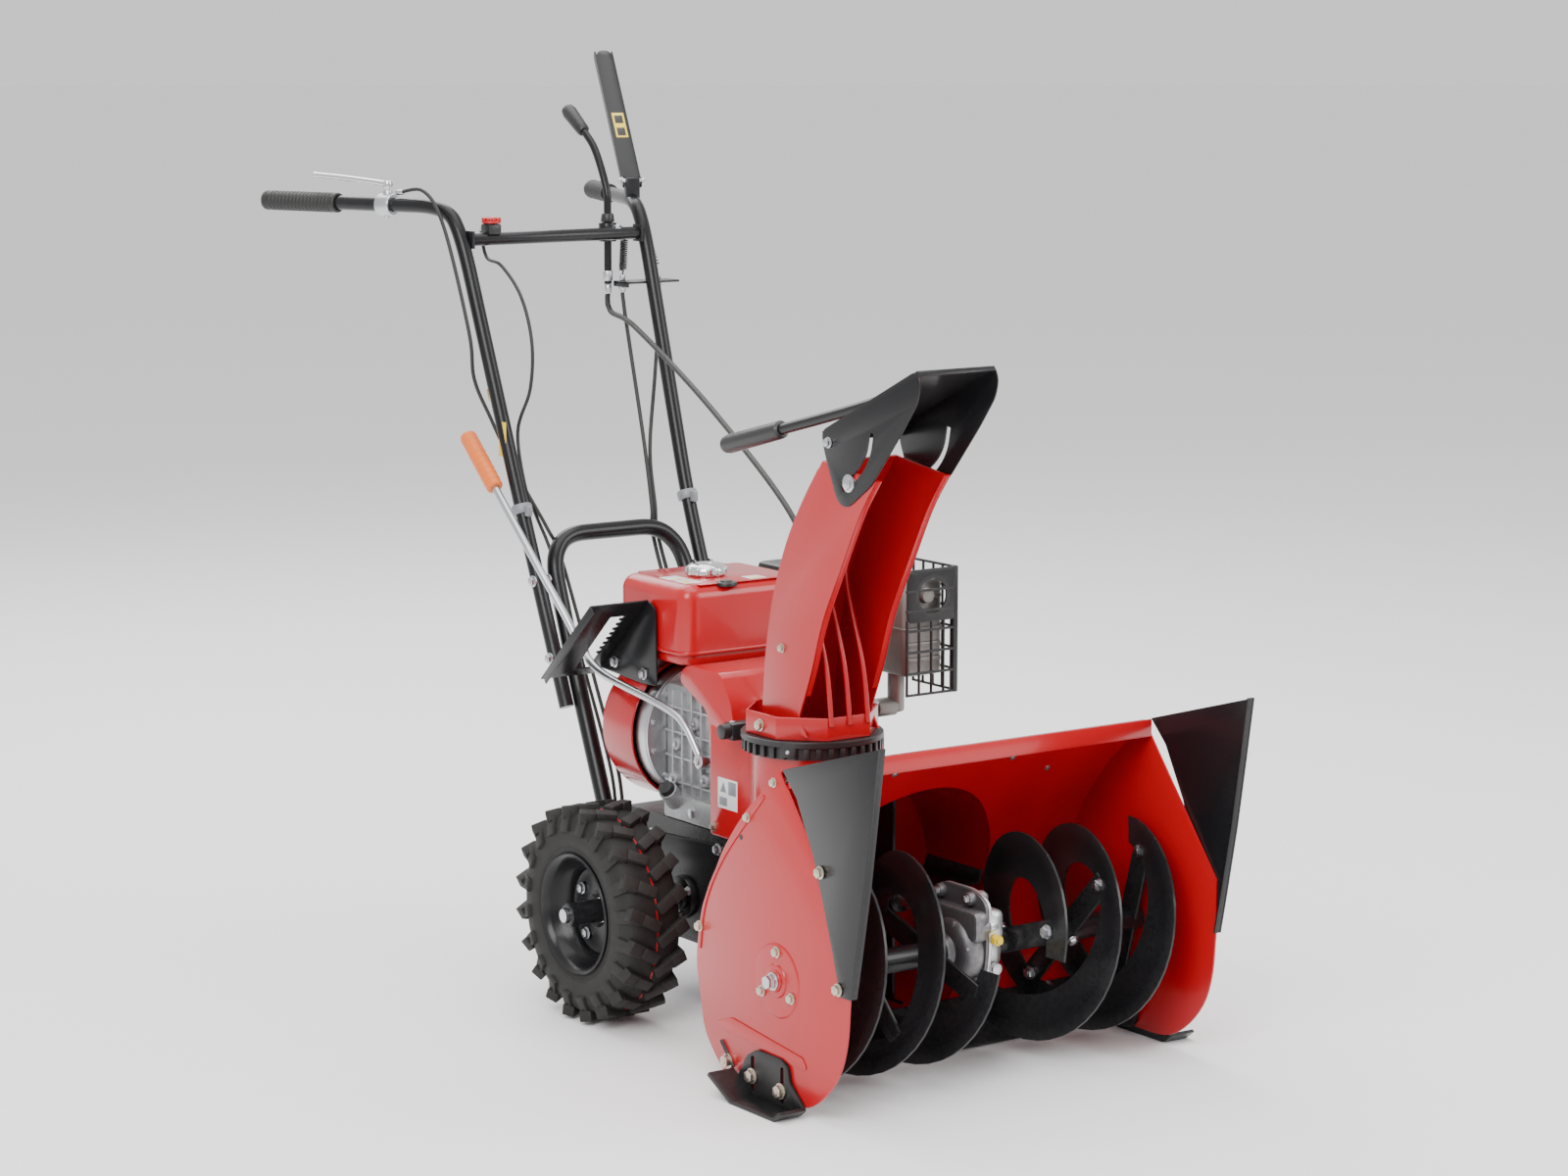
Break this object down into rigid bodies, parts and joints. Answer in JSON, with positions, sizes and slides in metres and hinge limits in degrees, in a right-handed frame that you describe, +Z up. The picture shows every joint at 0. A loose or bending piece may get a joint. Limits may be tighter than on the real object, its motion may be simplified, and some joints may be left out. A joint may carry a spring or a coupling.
{
  "type": "snow blower",
  "caption": "Walk-behind two-stage snow thrower: ribbon auger in a wide housing, impeller, swivelling chute with tilting deflector, engine, two lugged tyres and twin-leg handle with controls",
  "frame": {"origin": "centre of the bounding box in X and Y, on the ground in Z", "axes": "+Z up, -Y towards the auger mouth (forwards), +Y towards the operator, +X the operator's left"},
  "size_m": [0.7, 1.6193, 1.3387],
  "materials": {
    "housing_red": "gloss red powder coat",
    "black_paint": "satin black powder coat",
    "zinc_plate": "zinc plated steel",
    "cast_metal": "sand-cast grey",
    "chrome_plate": "bright plate",
    "black_rubber": "matt",
    "tyre_rubber": "matt",
    "black_plastic": "moulded",
    "orange_plastic": "moulded",
    "red_plastic": "moulded"
  },
  "bodies": {
    "machine_frame": {"auger_housing": "housing_red", "side_panel_right": "housing_red", "side_panel_left": "housing_red", "drift_wing_right": "black_paint", "drift_wing_left": "black_paint", "scraper_bar": "black_paint", "skid_shoe_right": "black_paint", "skid_shoe_left": "black_paint", "auger_bearing_right": "zinc_plate", "auger_bearing_left": "zinc_plate", "gearbox_cover_right": "cast_metal", "gearbox_cover_left": "cast_metal", "auger_belt": "black_rubber", "chassis_frame": "black_paint", "belt_cover": "housing_red", "engine_crankcase": "cast_metal", "cylinder_head": "cast_metal", "fan_housing": "housing_red", "fuel_tank": "housing_red", "air_cleaner": "black_plastic", "carburettor": "cast_metal", "muffler": "zinc_plate", "muffler_guard": "black_paint", "lower_handle": "black_paint", "upper_handle_right": "black_paint", "upper_handle_left": "black_paint", "handle_crossbar": "black_paint", "hand_grip_right": "black_rubber", "hand_grip_left": "black_rubber", "chute_ring": "black_plastic", "chute_worm_housing": "black_plastic", "gear_gate": "black_paint", "auger_clutch_cable": "black_rubber", "drive_clutch_cable": "black_rubber", "switch_cable": "black_rubber", "hand_lever_cable": "black_rubber", "chute_cable": "black_rubber"},
    "auger": {"auger_shaft": "zinc_plate", "auger_flight_right": "black_paint", "auger_flight_left": "black_paint"},
    "impeller_rotor": {"impeller_shaft": "zinc_plate", "impeller": "black_paint", "impeller_pulley": "zinc_plate"},
    "engine_crank": {"engine_crankshaft": "zinc_plate"},
    "drive_wheels": {"wheel_axle": "zinc_plate", "wheel_rim_right": "black_paint", "wheel_rim_left": "black_paint", "tyre_right": "tyre_rubber", "tyre_left": "tyre_rubber"},
    "chute": {"discharge_chute": "housing_red"},
    "deflector": {"chute_deflector": "black_paint", "deflector_handle": "black_paint"},
    "chute_crank_rod": {"chute_crank": "zinc_plate"},
    "clutch_bar": {"clutch_lever": "black_paint"},
    "gear_selector": {"gear_lever": "zinc_plate", "gear_lever_grip": "orange_plastic"},
    "hand_control": {"hand_lever": "chrome_plate"},
    "switch_knob": {"stop_switch_knob": "red_plastic"},
    "tank_cap": {"fuel_cap": "chrome_plate"},
    "recoil_pull": {"recoil_handle": "black_plastic"}
  },
  "joints": [
    {"name": "auger_turn", "type": "hinge", "parent": "machine_frame", "child": "auger", "pos_m": [0, -0.5886, 0.169], "axis": [1, 0, 0], "continuous": true},
    {"name": "impeller_turn", "type": "hinge", "parent": "machine_frame", "child": "impeller_rotor", "pos_m": [0, -0.3646, 0.207], "axis": [0, 1, 0], "continuous": true},
    {"name": "crank_turn", "type": "hinge", "parent": "machine_frame", "child": "engine_crank", "pos_m": [-0.034, -0.1006, 0.377], "axis": [0, 1, 0], "continuous": true},
    {"name": "wheels_turn", "type": "hinge", "parent": "machine_frame", "child": "drive_wheels", "pos_m": [0, -0.0826, 0.155], "axis": [1, 0, 0], "continuous": true},
    {"name": "chute_turn", "type": "hinge", "parent": "machine_frame", "child": "chute", "pos_m": [-0.092, -0.3646, 0.44], "axis": [0, 0, 1], "range_deg": [-95, 95]},
    {"name": "deflector_tilt", "type": "hinge", "parent": "chute", "child": "deflector", "pos_m": [-0.092, -0.4826, 0.845], "axis": [1, 0, 0], "range_deg": [-20, 30]},
    {"name": "chute_crank_turn", "type": "hinge", "parent": "machine_frame", "child": "chute_crank_rod", "pos_m": [0.112, 0.4654, 1.06], "axis": [0, 0, 1], "range_deg": [-760, 760]},
    {"name": "clutch_lever_squeeze", "type": "hinge", "parent": "machine_frame", "child": "clutch_bar", "pos_m": [0.1799, 0.5012, 1.14], "axis": [0.9319, -0.3627, 0], "range_deg": [-38, 0], "stiffness_Nm_per_rad": 2},
    {"name": "gear_shift", "type": "hinge", "parent": "machine_frame", "child": "gear_selector", "pos_m": [-0.117, -0.1326, 0.36], "axis": [1, 0, 0], "range_deg": [-2, 8]},
    {"name": "hand_lever_squeeze", "type": "hinge", "parent": "machine_frame", "child": "hand_control", "pos_m": [-0.2075, 0.572, 1.142], "axis": [0.9319, 0.3627, 0], "range_deg": [-6, 0], "stiffness_Nm_per_rad": 2},
    {"name": "stop_switch_turn", "type": "hinge", "parent": "machine_frame", "child": "switch_knob", "pos_m": [-0.112, 0.4374, 1.09], "axis": [0, 0, 1], "range_deg": [0, 90]},
    {"name": "fuel_cap_turn", "type": "hinge", "parent": "machine_frame", "child": "tank_cap", "pos_m": [-0.02, -0.0006, 0.61], "axis": [0, 0, 1], "range_deg": [0, 90]},
    {"name": "recoil_pull_out", "type": "slide", "parent": "machine_frame", "child": "recoil_pull", "axis": [0, 1, 0], "range_m": [0, 0.28], "stiffness_N_per_m": 40}
  ],
  "couplings": [
    {"joint": "auger_turn", "follows": "impeller_turn", "ratio": 0.05556},
    {"joint": "crank_turn", "follows": "impeller_turn", "ratio": 3.4074},
    {"joint": "chute_crank_turn", "follows": "chute_turn", "ratio": 8}
  ]
}
